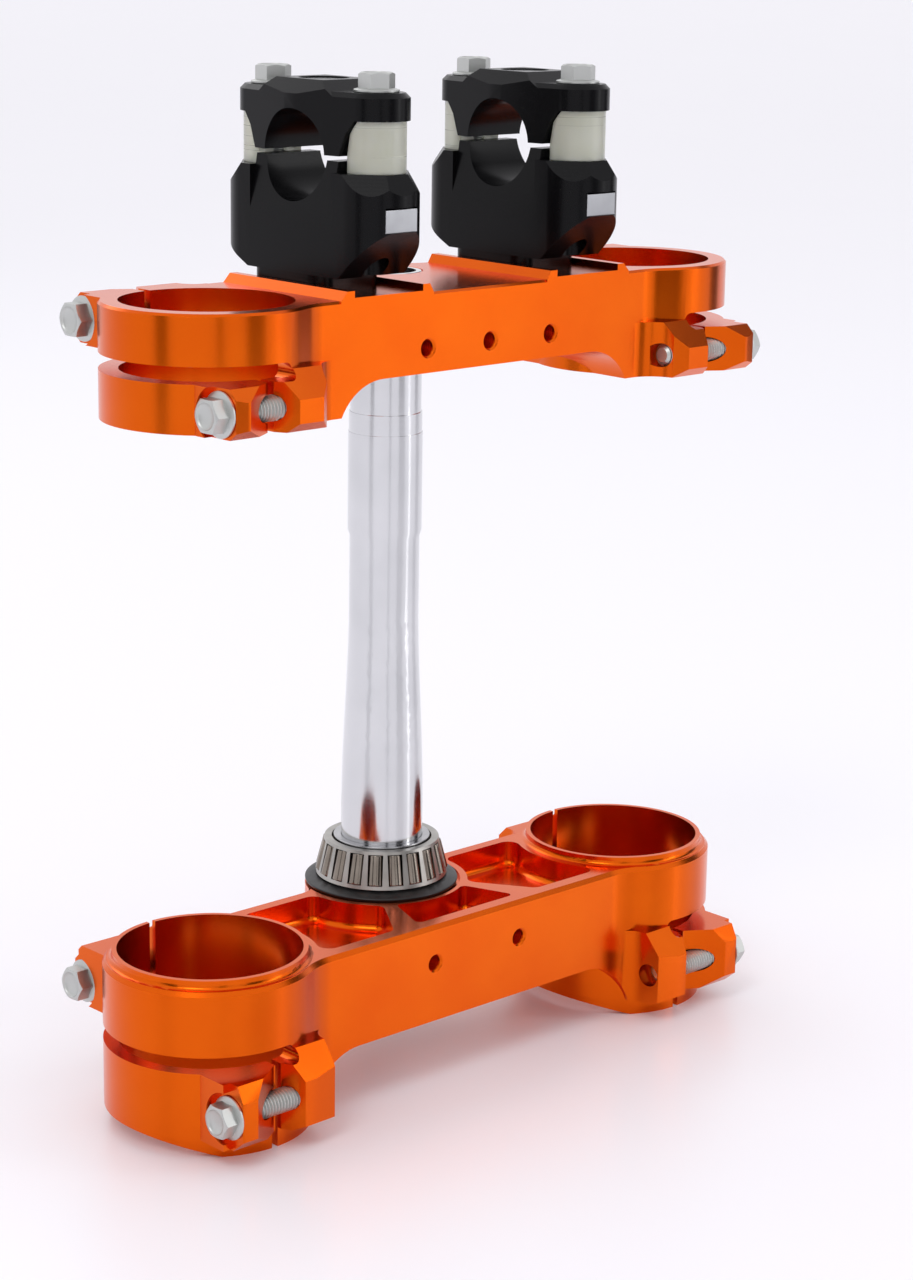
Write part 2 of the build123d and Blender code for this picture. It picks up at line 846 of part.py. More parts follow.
with BuildPart() as bearing_seal:
    revolved(
        (
            (stem_foot_r + fit_gap, boss_top),
            (seal_r - seal_foot_w, boss_top),
            (seal_r, boss_top + seal_t),
            (seal_r, boss_top + seal_t + seal_lip_h),
            (cage_low_r, boss_top + seal_rise),
            (cone_rib_r + fit_gap, boss_top + seal_rise),
            (cone_rib_r + fit_gap, bearing_z),
            (stem_foot_r + fit_gap, bearing_z),
        ),
        0,
        stem_offset,
    )
bearing_seal.part.label = "bearing_seal"
export_step(bearing_seal.part, "parts/bearing_seal.step")

# Taper roller bearing: the raceway, the cage and the rollers share one tilt
tilt_cos = cos(radians(roller_tilt))
tilt_sin = sin(radians(roller_tilt))
big_end_r = roller_mid_r + roller_l / 2 * tilt_sin
big_end_z = bearing_z + roller_mid_h - roller_l / 2 * tilt_cos
small_end_r = roller_mid_r - roller_l / 2 * tilt_sin
small_end_z = bearing_z + roller_mid_h + roller_l / 2 * tilt_cos


def under_roller(end_r, end_z, roller_r, along):
    """Point of the raceway under one end of a roller, moved along it by the given distance."""
    depth = roller_r + roller_gap
    return (
        end_r - depth * tilt_cos + along * tilt_sin,
        end_z - depth * tilt_sin - along * tilt_cos,
    )


race_low = under_roller(big_end_r, big_end_z, roller_big_r, roller_gap)
race_top = under_roller(small_end_r, small_end_z, roller_small_r, -roller_gap)
rib_edge_z = race_low[1] + (cone_rib_r - race_low[0]) * tilt_sin / tilt_cos
small_edge_z = race_top[1] + (cone_small_r - race_top[0]) * tilt_sin / tilt_cos
with BuildPart() as bearing_cone:
    revolved(
        (
            (stem_seat_r + fit_gap, bearing_z),
            (cone_rib_r, bearing_z),
            (cone_rib_r, rib_edge_z),
            race_low,
            race_top,
            (cone_small_r, small_edge_z),
            (cone_small_r, bearing_z + cone_h),
            (stem_seat_r + fit_gap, bearing_z + cone_h),
        ),
        0,
        stem_offset,
    )
bearing_cone.part.label = "bearing_cone"
export_step(bearing_cone.part, "parts/bearing_cone.step")

cage_run = cage_top_h - cage_low_h
cage_top_r = cage_low_r - cage_run * tan(radians(roller_tilt))
with BuildPart() as bearing_cage:
    revolved(
        (
            (cage_low_r - cage_t, bearing_z + cage_low_h),
            (cage_low_r, bearing_z + cage_low_h),
            (cage_top_r, bearing_z + cage_top_h),
            (cage_flange_r, bearing_z + cage_top_h),
            (cage_flange_r, bearing_z + cage_top_h - cage_t),
            (cage_top_r - cage_t, bearing_z + cage_top_h - cage_t),
        ),
        0,
        stem_offset,
    )
    with Locations((0, stem_offset, bearing_z + roller_mid_h)):
        with PolarLocations(radius=roller_mid_r, count=roller_count, start_angle=90):
            Box(
                4 * roller_big_r,
                cage_window_w,
                roller_l + 3 * roller_gap,
                rotation=(0, -roller_tilt, 0),
                mode=Mode.SUBTRACT,
            )
bearing_cage.part.label = "bearing_cage"
export_step(bearing_cage.part, "parts/bearing_cage.step")

with BuildPart() as bearing_rollers:
    with Locations((0, stem_offset, bearing_z + roller_mid_h)):
        with PolarLocations(radius=roller_mid_r, count=roller_count, start_angle=90):
            Cone(roller_big_r, roller_small_r, roller_l, rotation=(0, -roller_tilt, 0))
bearing_rollers.part.label = "bearing_rollers"
export_step(bearing_rollers.part, "parts/bearing_rollers.step")


def pinch_bolts(places, lug_out, tip_u):
    """The four bolts of one clamp, head outward."""
    for end in (-1, 1):
        for y, z in places:
            seat_x = end * (fork_x + lug_out - seat_depth)
            seat = Plane(origin=(seat_x, y, z), x_dir=(0, end, 0), z_dir=(end, 0, 0))
            flange_bolt(seat, lug_out - seat_depth + tip_u)


with BuildPart() as lower_pinch_bolts:
    low_places = ((-low_front_bolt_v, low_front_bolt_z), (low_rear_bolt_v, low_rear_bolt_z))
    pinch_bolts(low_places, low_lug_out, low_tip_u)
lower_pinch_bolts.part.label = "lower_pinch_bolts"
export_step(lower_pinch_bolts.part, "parts/lower_pinch_bolts.step")

with BuildPart() as upper_pinch_bolts:
    up_places = ((-up_front_bolt_v, up_front_bolt_z), (up_rear_bolt_v, up_rear_bolt_z))
    pinch_bolts(up_places, up_lug_out, up_tip_u)
upper_pinch_bolts.part.label = "upper_pinch_bolts"
export_step(upper_pinch_bolts.part, "parts/upper_pinch_bolts.step")

# Handlebar mounts, one on each side
front_y = mount_y - bolt_s
rear_y = mount_y + bolt_s
foot_y = mount_y + foot_shift
base_end = bolt_s + base_end_r
cap_end = bolt_s + cap_end_r
foot_front = foot_y - foot_l / 2
foot_rear = foot_y + foot_l / 2
rear_rise = (base_rear_z - foot_z) / (mount_y + base_end - foot_rear - foot_land)


def mount_side(points, radii=()):
    """A side profile of a mount; the points are (distance from the bar, height)."""
    return outline([(mount_y + s, z) for s, z in points], [((mount_y + s, z), r) for s, z, r in radii])


def mount_plan(x, half_w, end_r, level, flat):
    """Plan of a mount: round ends about the bolts, widest at the bar."""
    with BuildSketch(Plane.XY.offset(level)) as shape:
        with Locations((x, front_y), (x, rear_y)):
            Circle(end_r)
        with Locations((x, mount_y)):
            Rectangle(half_w * 2, flat * 2)
        make_hull()
    return shape.sketch


def bar_bore(x):
    """The handlebar's seat, through both faces."""
    bar_plane = Plane.YZ.offset(x)
    with BuildSketch(bar_plane) as shape:
        with Locations((mount_y, bar_z)):
            Circle(bar_r)
    extrude(shape.sketch, amount=base_half_w + over, both=True, mode=Mode.SUBTRACT)


def bolt_ways(x, radius, low, high):
    """Both bolt holes of a mount between two heights."""
    with BuildSketch(Plane.XY.offset(low)) as shape:
        with Locations((x, front_y), (x, rear_y)):
            Circle(radius)
    extrude(shape.sketch, amount=high - low, mode=Mode.SUBTRACT)


for side_name, x in (("left", -mount_x), ("right", mount_x)):
    with BuildPart() as base:
        extrude(mount_plan(x, base_half_w, base_end_r, foot_z, base_flat), amount=base_top - foot_z)
        with BuildSketch(Plane.YZ.offset(x - base_half_w - over)):
            add(
                mount_side(
                    (
                        (foot_rear - mount_y + foot_land, foot_z),
                        (base_end + end_run, base_rear_z + end_run * rear_rise),
                        (base_end + end_run, base_shoulder_z),
                        (horn_s, base_shoulder_z),
                        (horn_s, base_top),
                        (-horn_s, base_top),
                        (-horn_s, base_shoulder_z),
                        (-base_end - end_run, base_shoulder_z),
                        (-base_end - end_run, base_front_z + end_run),
                        (-base_end + base_front_z - foot_z, foot_z),
                    )
                )
            )
        extrude(amount=2 * (base_half_w + over), mode=Mode.INTERSECT)
        with BuildSketch(Plane.XY.offset(channel_z)):
            with Locations((x, foot_y)):
                RectangleRounded(foot_w, foot_l, foot_corner)
        extrude(amount=foot_z - channel_z)
        # Inclined faces beside the horns
        with BuildSketch(Plane(origin=(x, mount_y - horn_s, 0), x_dir=(-1, 0, 0), z_dir=(0, 1, 0))):
            for hand in (-1, 1):
                add(
                    outline(
                        (
                            (hand * base_half_w, horn_z),
                            (hand * horn_half_w, base_top),
                            (hand * horn_half_w, base_top + over),
                            (hand * (base_half_w + over), base_top + over),
                            (hand * (base_half_w + over), horn_z),
                        )
                    )
                )
        extrude(amount=2 * horn_s, mode=Mode.SUBTRACT)
        bar_bore(x)
        bolt_ways(x, m8_r + loose_gap, foot_z, base_top + over)
        # Slots for the block nuts, open at the ends
        with BuildSketch(Plane.XY.offset(nut_low)):
            with Locations((x, mount_y - base_end), (x, mount_y + base_end)):
                Rectangle(nut_w + 2 * fit_gap, 2 * (nut_l + nut_inset + fit_gap))
        extrude(amount=nut_h + nut_slot_gap, mode=Mode.SUBTRACT)
        with BuildSketch(Plane.XY.offset(channel_z)):
            with Locations((x, foot_y)):
                Circle(screw_r + fit_gap)
        extrude(amount=screw_reach, mode=Mode.SUBTRACT)
    base.part.label = "bar_mount_base_" + side_name
    export_step(base.part, f"parts/bar_mount_base_{side_name}.step")

    with BuildPart() as cap:
        cap_shape = mount_plan(x, cap_half_w, cap_end_r, cap_base, cap_flat)
        extrude(cap_shape, amount=cap_plateau_z - cap_base)
        with BuildSketch(Plane.YZ.offset(x - cap_half_w - over)):
            add(
                mount_side(
                    (
                        (lip_out, cap_base),
                        (lip_mid, lip_mid_z),
                        (lip_root, cap_wing_z),
                        (cap_end + end_run, cap_wing_z),
                        (cap_end + end_run, cap_wing_top),
                        (cap_slope_s, cap_wing_top),
                        (cap_plateau_s, cap_plateau_z),
                        (-cap_plateau_s, cap_plateau_z),
                        (-cap_slope_s, cap_wing_top),
                        (-cap_end - end_run, cap_wing_top),
                        (-cap_end - end_run, cap_wing_z),
                        (-lip_root, cap_wing_z),
                        (-lip_mid, lip_mid_z),
                        (-lip_out, cap_base),
                    )
                )
            )
        extrude(amount=2 * (cap_half_w + over), mode=Mode.INTERSECT)
        # Rim of both wings, all round their free edges
        wing_edges = cap.edges().filter_by_position(
            Axis.Z, cap_wing_top - fit_gap, cap_wing_top + fit_gap
        )
        wing_sides = wing_edges.filter_by(lambda e: abs(e.center().X - x) > m8_r)
        wing_ends = wing_edges.filter_by(lambda e: abs(e.center().Y - mount_y) > bolt_s + m8_r)
        chamfer(wing_sides + wing_ends, length=wing_rim)
        with BuildSketch(Plane(origin=(x, -reach / 2, 0), x_dir=(-1, 0, 0), z_dir=(0, 1, 0))):
            for hand in (-1, 1):
                add(
                    outline(
                        (
                            (hand * cap_plateau_half, cap_plateau_z),
                            (hand * cap_half_w, cap_side_z),
                            (hand * (cap_half_w + over), cap_side_z),
                            (hand * (cap_half_w + over), cap_plateau_z + over),
                            (hand * cap_plateau_half, cap_plateau_z + over),
                        )
                    )
                )
        extrude(amount=reach, mode=Mode.SUBTRACT)
        bar_bore(x)
        bolt_ways(x, m8_r + loose_gap, cap_base, cap_plateau_z)
        with BuildSketch(Plane.XY.offset(cap_plateau_z - recess_depth)):
            with Locations((x, mount_y)):
                Circle(recess_r)
        extrude(amount=recess_depth, mode=Mode.SUBTRACT)
    cap.part.label = "bar_cap_" + side_name
    export_step(cap.part, f"parts/bar_cap_{side_name}.step")

    for end_name, end in (("front", -1), ("rear", 1)):
        with BuildPart() as elastomer:
            with BuildSketch(Plane.XY.offset(base_shoulder_z)):
                with Locations((x, mount_y + end * bolt_s)):
                    Circle(elastomer_r)
                    Circle(m8_r + loose_gap, mode=Mode.SUBTRACT)
            extrude(amount=cap_wing_z - base_shoulder_z)
            with BuildSketch(Plane.YZ.offset(x - elastomer_r - over)):
                add(
                    mount_side(
                        (
                            (end * elastomer_cut / 2, base_shoulder_z - over),
                            (end * elastomer_cut, base_shoulder_z - over),
                            (end * elastomer_cut, cap_base),
                            (end * (lip_mid + loose_gap), lip_mid_z),
                            (end * (lip_root + loose_gap), cap_wing_z - loose_gap),
                            (end * (lip_root + loose_gap), cap_wing_z + over),
                            (end * elastomer_cut / 2, cap_wing_z + over),
                        )
                    )
                )
            extrude(amount=2 * (elastomer_r + over), mode=Mode.SUBTRACT)
        elastomer.part.label = f"elastomer_{side_name}_{end_name}"
        export_step(elastomer.part, f"parts/elastomer_{side_name}_{end_name}.step")

with BuildPart() as bar_clamp_bolts:
    for x in (-mount_x, mount_x):
        for y in (front_y, rear_y):
            seat = Plane(origin=(x, y, cap_wing_top))
            flange_bolt(seat, cap_wing_top - nut_low + bolt_past)
bar_clamp_bolts.part.label = "bar_clamp_bolts"
export_step(bar_clamp_bolts.part, "parts/bar_clamp_bolts.step")

with BuildPart() as bar_clamp_nuts:
    with BuildSketch(Plane.XY.offset(nut_low)):
        for x in (-mount_x, mount_x):
            for y, end in ((front_y, -1), (rear_y, 1)):
                with Locations((x, mount_y + end * (base_end - nut_inset - nut_l / 2))):
                    Rectangle(nut_w, nut_l)
                with Locations((x, y)):
                    Circle(m8_r + fit_gap, mode=Mode.SUBTRACT)
    extrude(amount=nut_high - nut_low)
bar_clamp_nuts.part.label = "bar_clamp_nuts"
export_step(bar_clamp_nuts.part, "parts/bar_clamp_nuts.step")

# Screws and washers that hold the mounts from below
screw_seat = up_under_z + screw_recess - washer_t
with BuildPart() as bar_mount_washers:
    with BuildSketch(Plane.XY.offset(screw_seat)):
        with Locations((-mount_x, foot_y), (mount_x, foot_y)):
            Circle(washer_r)
            Circle(screw_r + loose_gap, mode=Mode.SUBTRACT)
    extrude(amount=washer_t)
bar_mount_washers.part.label = "bar_mount_washers"
export_step(bar_mount_washers.part, "parts/bar_mount_washers.step")

with BuildPart() as bar_mount_screws:
    with BuildSketch(Plane.XY.offset(screw_seat - screw_head_h)):
        with Locations((-mount_x, foot_y), (mount_x, foot_y)):
            Circle(screw_head_r)
            RegularPolygon(screw_hex_r, 6, mode=Mode.SUBTRACT)
    extrude(amount=screw_head_h)
    with BuildSketch(Plane.XY.offset(screw_seat - screw_head_h + screw_hex_depth)):
        with Locations((-mount_x, foot_y), (mount_x, foot_y)):
            Circle(screw_r)
    tip_z = channel_z + screw_reach - screw_tip_gap
    extrude(amount=tip_z - screw_seat + screw_head_h - screw_hex_depth)
bar_mount_screws.part.label = "bar_mount_screws"
export_step(bar_mount_screws.part, "parts/bar_mount_screws.step")
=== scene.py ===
import json
import math

import bmesh
import bpy
from mathutils import Matrix, Vector

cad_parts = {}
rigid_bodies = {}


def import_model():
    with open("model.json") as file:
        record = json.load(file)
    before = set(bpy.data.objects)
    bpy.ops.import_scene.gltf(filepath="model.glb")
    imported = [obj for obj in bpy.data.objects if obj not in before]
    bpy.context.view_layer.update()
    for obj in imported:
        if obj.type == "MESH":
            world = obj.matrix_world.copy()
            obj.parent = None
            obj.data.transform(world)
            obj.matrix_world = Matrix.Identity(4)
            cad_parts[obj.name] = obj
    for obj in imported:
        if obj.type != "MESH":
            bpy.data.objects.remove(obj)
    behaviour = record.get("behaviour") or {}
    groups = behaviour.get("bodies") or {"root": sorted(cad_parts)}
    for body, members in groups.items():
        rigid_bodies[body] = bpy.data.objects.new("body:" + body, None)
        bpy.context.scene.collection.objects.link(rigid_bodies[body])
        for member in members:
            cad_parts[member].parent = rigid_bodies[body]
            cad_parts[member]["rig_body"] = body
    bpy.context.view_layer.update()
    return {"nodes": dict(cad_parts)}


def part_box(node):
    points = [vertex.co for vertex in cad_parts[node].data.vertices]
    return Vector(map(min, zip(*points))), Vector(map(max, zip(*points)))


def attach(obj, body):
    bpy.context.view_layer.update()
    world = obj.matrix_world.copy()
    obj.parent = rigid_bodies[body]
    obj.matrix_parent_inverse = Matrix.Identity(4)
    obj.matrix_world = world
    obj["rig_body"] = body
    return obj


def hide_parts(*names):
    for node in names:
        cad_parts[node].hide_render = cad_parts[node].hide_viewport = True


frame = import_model()

bl_info = {
    "name": "Triple clamp dresser",
    "version": (1, 0, 0),
    "blender": (4, 5, 0),
    "location": "View3D > Sidebar > Clamp",
    "description": "Dresses a motorcycle triple clamp with machined, anodised and moulded pieces",
    "category": "Object",
}

MM = 0.001
UP = Vector((0, 0, 1))

# Degrees: faces nearer than the first to one plane become one face, and edges that turn
# by more than the second are broken
FLAT_ANGLE = 0.6
SHARP_ANGLE = 28.0

# Flange bolts, in millimetres and degrees
HEAD_TOP = 6.0
HEAD_CONE = 30.0
DISH_ANGLES = (0, 18, 36, 54, 72)
THREAD_DEPTH = 0.61
COIL_STEPS = 28

# Tapped M6 holes of the front walls, in millimetres: the wall's face, then the places
TAPPED_HOLES = {
    "upper_clamp": (-28.0, ((-27.0, 249.0), (0.0, 249.0), (27.0, 249.0))),
    "lower_clamp": (-27.3, ((-19.4, 42.3), (19.4, 42.3))),
}
TAPPED_ROOT, TAPPED_CREST, TAPPED_PITCH, TAPPED_LENGTH = 2.52, 2.3, 1.0, 11.0
TAPPED_START = 0.8

# Milled corners of the mount bases, in millimetres: a urethane block's axis from the
# base's end, the shoulder below the top, and the cut's distance from the axis
BLOCK_AXIS = 13.6
SHOULDER_DROP = 3.4
CORNER_REACH = 9.8
CORNER_TURNS = (-48, 0, 48)
CORNER_RISE = 0.62

# Studio, in metres and watts: size, power and place of the lamps, width, height and place
# of the dark cards, and the point each of them faces
LAMPS = (
    ("side_softbox", (0.16, 1.2), 3.2, (1.1, -1.3, 0.7)),
    ("rear_softbox", (1.0, 0.6), 2.4, (0.1, 1.5, 1.2)),
)
KEY_SIZE = (0.6, 0.6)
KEY_PLACE = (-1.1, -0.5, 1.5)
LAMP_AIM = (0, 0, 0.15)
DARK_CARDS = (
    ("left_dark_card", 0.35, 1.8, (-1.5, -0.1, 0.5)),
    ("middle_dark_card", 0.18, 1.8, (-0.75, -1.45, 0.6)),
    ("front_dark_card", 0.6, 1.4, (0.3, -1.5, 0.5)),
    ("right_dark_card", 0.5, 1.8, (1.45, -0.35, 0.5)),
)
CARD_AIM = (0, 0, 0.2)

# Camera: its place in metres, and its turn, rise and roll in degrees
CAMERA_PLACE = (-0.64304, -0.69715, 0.38619)
CAMERA_TURN, CAMERA_RISE, CAMERA_ROLL = -43.28, 14.27, 0.92
CAMERA_SENSOR, CAMERA_LENS = 36.0, 82.15


def srgb(code, alpha=None):
    """A colour code such as E8590C as linear red, green and blue."""
    parts = [int(code[i : i + 2], 16) / 255 for i in (0, 2, 4)]
    linear = [c / 12.92 if c <= 0.04045 else ((c + 0.055) / 1.055) ** 2.4 for c in parts]
    return tuple(linear) if alpha is None else tuple(linear) + (alpha,)


def add_node(tree, kind, inputs=None, **settings):
    """A node with its settings; an input takes a value, or a socket to be linked from."""
    made = tree.nodes.new(kind)
    for name, value in settings.items():
        setattr(made, name, value)
    for name, value in (inputs or {}).items():
        if isinstance(value, bpy.types.NodeSocket):
            tree.links.new(value, made.inputs[name])
        else:
            made.inputs[name].default_value = value
    return made


def surface(name):
    """An empty material, its node tree and its shader."""
    material = bpy.data.materials.new(name)
    material.use_nodes = True
    tree = material.node_tree
    tree.nodes.clear()
    shader = add_node(tree, "ShaderNodeBsdfPrincipled")
    output = add_node(tree, "ShaderNodeOutputMaterial")
    tree.links.new(shader.outputs["BSDF"], output.inputs["Surface"])
    return material, tree, shader


def place(tree, centre=(0, 0, 0), stretch=(1, 1, 1)):
    """Object coordinates about a point of the frame, in millimetres."""
    where = add_node(tree, "ShaderNodeTexCoord")
    moved = add_node(
        tree,
        "ShaderNodeVectorMath",
        {0: where.outputs["Object"], 1: centre},
        operation="SUBTRACT",
    )
    return add_node(
        tree,
        "ShaderNodeMapping",
        {"Vector": moved.outputs[0], "Scale": tuple(s / MM for s in stretch)},
    ).outputs["Vector"]


def worked(tree, shader, tone, wear, marks):
    """Gives a shader the colour, roughness and relief that its patterns make.

    tone is a pattern and two colours, wear a pattern and two roughnesses, and marks a
    height pattern, its strength and its depth in millimetres.
    """
    colour = add_node(
        tree,
        "ShaderNodeMix",
        {"Factor": tone[0], "A": tone[1], "B": tone[2]},
        data_type="RGBA",
    )
    rough = add_node(
        tree, "ShaderNodeMapRange", {"Value": wear[0], "To Min": wear[1], "To Max": wear[2]}
    )
    relief = add_node(
        tree,
        "ShaderNodeBump",
        {"Height": marks[0], "Strength": marks[1], "Distance": marks[2] * MM},
    )
    tree.links.new(colour.outputs["Result"], shader.inputs["Base Color"])
    tree.links.new(rough.outputs["Result"], shader.inputs["Roughness"])
    tree.links.new(relief.outputs["Normal"], shader.inputs["Normal"])


def look():
    return bpy.context.scene.clamp_look


# Orange anodised aluminium, milled and then bright dipped: a deep metallic orange under a
# thin clear oxide layer, so that grazing reflections go pale. The dye is uneven over about
# 33 mm. Cutter marks are 0.4 mm apart in the metal, too fine to show, and are drawn 1.6 mm
# apart, over a grain of 0.4 mm.
def orange_anodised(centre):
    material, tree, shader = surface("orange_anodised_aluminium")
    at = place(tree, centre)
    cloud = add_node(tree, "ShaderNodeTexNoise", {"Vector": at, "Scale": 0.03, "Detail": 3.0})
    marks = add_node(
        tree,
        "ShaderNodeTexWave",
        {"Vector": at, "Scale": 0.2, "Distortion": 1.5, "Detail": 2.0, "Detail Scale": 0.4},
        wave_type="RINGS",
        rings_direction="Z",
    )
    grain = add_node(
        tree, "ShaderNodeTexNoise", {"Vector": at, "Scale": 1 / 0.4, "Detail": 4.0}
    )
    uneven = add_node(
        tree,
        "ShaderNodeMath",
        {0: marks.outputs["Fac"], 1: grain.outputs["Fac"]},
        operation="ADD",
    )
    worked(
        tree,
        shader,
        (cloud.outputs["Fac"], (*look().orange_deep, 1), (*look().orange, 1)),
        (grain.outputs["Fac"], 0.18, 0.28),
        (uneven.outputs[0], 0.05, 0.02),
    )
    shader.inputs["Metallic"].default_value = 1.0
    shader.inputs["Coat Weight"].default_value = 0.06
    shader.inputs["Coat Roughness"].default_value = 0.12
    return material


# Black anodised aluminium, fine milled: a satin black that greys on every chamfer. The
# grain is 0.6 mm wide. Cutter marks of 0.2 mm are drawn 1.1 mm apart so that they show.
def black_anodised(centre):
    material, tree, shader = surface("black_anodised_aluminium")
    at = place(tree, centre)
    grain = add_node(
        tree, "ShaderNodeTexNoise", {"Vector": at, "Scale": 1 / 0.625, "Detail": 5.0}
    )
    marks = add_node(
        tree,
        "ShaderNodeTexWave",
        {"Vector": at, "Scale": 0.28, "Distortion": 0.8, "Detail": 2.0},
        bands_direction="Z",
    )
    uneven = add_node(
        tree,
        "ShaderNodeMath",
        {0: marks.outputs["Fac"], 1: grain.outputs["Fac"]},
        operation="ADD",
    )
    worked(
        tree,
        shader,
        (grain.outputs["Fac"], srgb("060607", 1), srgb("0E0E10", 1)),
        (grain.outputs["Fac"], 0.2, 0.3),
        (uneven.outputs[0], 0.08, 0.02),
    )
    shader.inputs["Specular IOR Level"].default_value = 0.13
    return material


# Turned and polished aluminium tube: rings left by the tool, about 0.17 mm apart, stretch
# each reflection upright, and handling leaves a faint stain over about 20 mm.
def turned_aluminium(centre):
    material, tree, shader = surface("turned_aluminium")
    rings = add_node(
        tree,
        "ShaderNodeTexNoise",
        {
            "Vector": place(tree, centre, stretch=(0.01, 0.01, 1)),
            "Scale": 6.0,
            "Detail": 3.0,
        },
    )
    stain = add_node(
        tree,
        "ShaderNodeTexNoise",
        {"Vector": place(tree, centre), "Scale": 1 / 20, "Detail": 3.0},
    )
    worked(
        tree,
        shader,
        (stain.outputs["Fac"], srgb("C9CACC", 1), srgb("DEDEE0", 1)),
        (rings.outputs["Fac"], 0.08, 0.2),
        (rings.outputs["Fac"], 0.1, 0.01),
    )
    shader.inputs["Metallic"].default_value = 1.0
    return material


# Zinc flake on steel: a pale grey dip coat with a fine dry sparkle of 0.3 mm and patches
# of 2.5 mm, never mirror bright.
def zinc_flake():
    material, tree, shader = surface("zinc_flake_steel")
    at = place(tree)
    flake = add_node(tree, "ShaderNodeTexVoronoi", {"Vector": at, "Scale": 3.0})
    patch = add_node(
        tree, "ShaderNodeTexNoise", {"Vector": at, "Scale": 1 / 2.5, "Detail": 4.0}
    )
    worked(
        tree,
        shader,
        (patch.outputs["Fac"], srgb("A4A8A4", 1), srgb("C9CCC8", 1)),
        (patch.outputs["Fac"], 0.34, 0.5),
        (flake.outputs["Distance"], 0.2, 0.03),
    )
    shader.inputs["Metallic"].default_value = 0.9
    return material


# Cast urethane, turned to length: milky and greenish, with rings about 0.6 mm apart, and
# what stands behind it shows through as a shade.
def cast_urethane():
    material, tree, shader = surface("cast_urethane")
    milk = add_node(
        tree, "ShaderNodeTexNoise", {"Vector": place(tree), "Scale": 0.12, "Detail": 1.0}
    )
    rings = add_node(
        tree,
        "ShaderNodeTexNoise",
        {
            "Vector": place(tree, stretch=(0.004, 0.004, 1)),
            "Scale": 1 / 0.625,
            "Detail": 2.0,
        },
    )
    worked(
        tree,
        shader,
        (milk.outputs["Fac"], srgb("D2D4C2", 1), srgb("E4E5D8", 1)),
        (rings.outputs["Fac"], 0.22, 0.38),
        (rings.outputs["Fac"], 0.12, 0.05),
    )
    shader.inputs["IOR"].default_value = 1.49
    shader.inputs["Transmission Weight"].default_value = 0.45
    shader.inputs["Subsurface Weight"].default_value = 0.5
    shader.inputs["Subsurface Radius"].default_value = (1.0, 0.95, 0.75)
    shader.inputs["Subsurface Scale"].default_value = 2.5 * MM
    return material


# Steel or aluminium worked in one direction: parallel lines, spaced in millimetres, and a
# soft bright sheen, with a stain over about 8 mm.
def lined_metal(name, dark, light, rough_low, rough_high, direction, spacing):
    material, tree, shader = surface(name)
    stretch = [0.05, 0.05, 0.05]
    stretch["XYZ".index(direction)] = 1 / spacing
    lines = add_node(
        tree,
        "ShaderNodeTexNoise",
        {"Vector": place(tree, stretch=stretch), "Scale": 1.0, "Detail": 4.0},
    )
    stain = add_node(
        tree, "ShaderNodeTexNoise", {"Vector": place(tree), "Scale": 0.12, "Detail": 3.0}
    )
    worked(
        tree,
        shader,
        (stain.outputs["Fac"], srgb(dark, 1), srgb(light, 1)),
        (lines.outputs["Fac"], rough_low, rough_high),
        (lines.outputs["Fac"], 0.1, 0.01),
    )
    shader.inputs["Metallic"].default_value = 1.0
    return material


# Nitrile rubber, moulded: near black, dull, with a faint bloom and pores of 0.25 mm.
def moulded_rubber():
    material, tree, shader = surface("moulded_nitrile_rubber")
    at = place(tree)
    bloom = add_node(tree, "ShaderNodeTexNoise", {"Vector": at, "Scale": 0.3, "Detail": 4.0})
    pores = add_node(
        tree, "ShaderNodeTexNoise", {"Vector": at, "Scale": 1 / 0.25, "Detail": 2.0}
    )
    worked(
        tree,
        shader,
        (bloom.outputs["Fac"], srgb("0E0E0F", 1), srgb("1D1C1C", 1)),
        (bloom.outputs["Fac"], 0.32, 0.5),
        (pores.outputs["Fac"], 0.15, 0.05),
    )
    return material


# Matt black card: paper fibre of 2 mm that sends almost no light back.
def black_card():
    material, tree, shader = surface("matt_black_card")
    fibre = add_node(tree, "ShaderNodeTexNoise", {"Vector": place(tree), "Scale": 1 / 2})
    rough = add_node(
        tree,
        "ShaderNodeMapRange",
        {"Value": fibre.outputs["Fac"], "To Min": 0.8, "To Max": 0.95},
    )
    tree.links.new(rough.outputs["Result"], shader.inputs["Roughness"])
    shader.inputs["Base Color"].default_value = srgb("1A1A1C", 1)
    return material


# Satin white acrylic sheet: even, with broad smears of 250 mm in its gloss.
def white_acrylic():
    material, tree, shader = surface("satin_white_acrylic")
    smear = add_node(
        tree,
        "ShaderNodeTexNoise",
        {"Vector": place(tree), "Scale": 1 / 250, "Detail": 2.0},
    )
    rough = add_node(
        tree,
        "ShaderNodeMapRange",
        {"Value": smear.outputs["Fac"], "To Min": 0.3, "To Max": 0.38},
    )
    tree.links.new(rough.outputs["Result"], shader.inputs["Roughness"])
    shader.inputs["Base Color"].default_value = (*look().floor_colour, 1)
    return material


def kept(name, maker, *facts):
    """The material of that name, made the first time that it is asked for."""
    return bpy.data.materials.get(name) or maker(*facts)


def pressed_steel():
    return lined_metal("pressed_sheet_steel", "8F8D88", "C4C2BC", 0.28, 0.42, "Z", 0.5)


def ground_steel():
    return lined_metal("ground_bearing_steel", "9A9A9C", "C8C8CA", 0.16, 0.28, "Z", 0.3)


def oiled_roller_steel():
    return lined_metal("oiled_roller_steel", "6E655C", "A1978C", 0.14, 0.24, "Z", 0.4)


def milled_nut_aluminium():
    return lined_metal("milled_aluminium", "8E8F92", "A6A7AA", 0.24, 0.36, "X", 0.5)


def plated_screw_steel():
    return lined_metal("zinc_plated_steel", "7C7E82", "A9ABB0", 0.26, 0.4, "Z", 0.4)


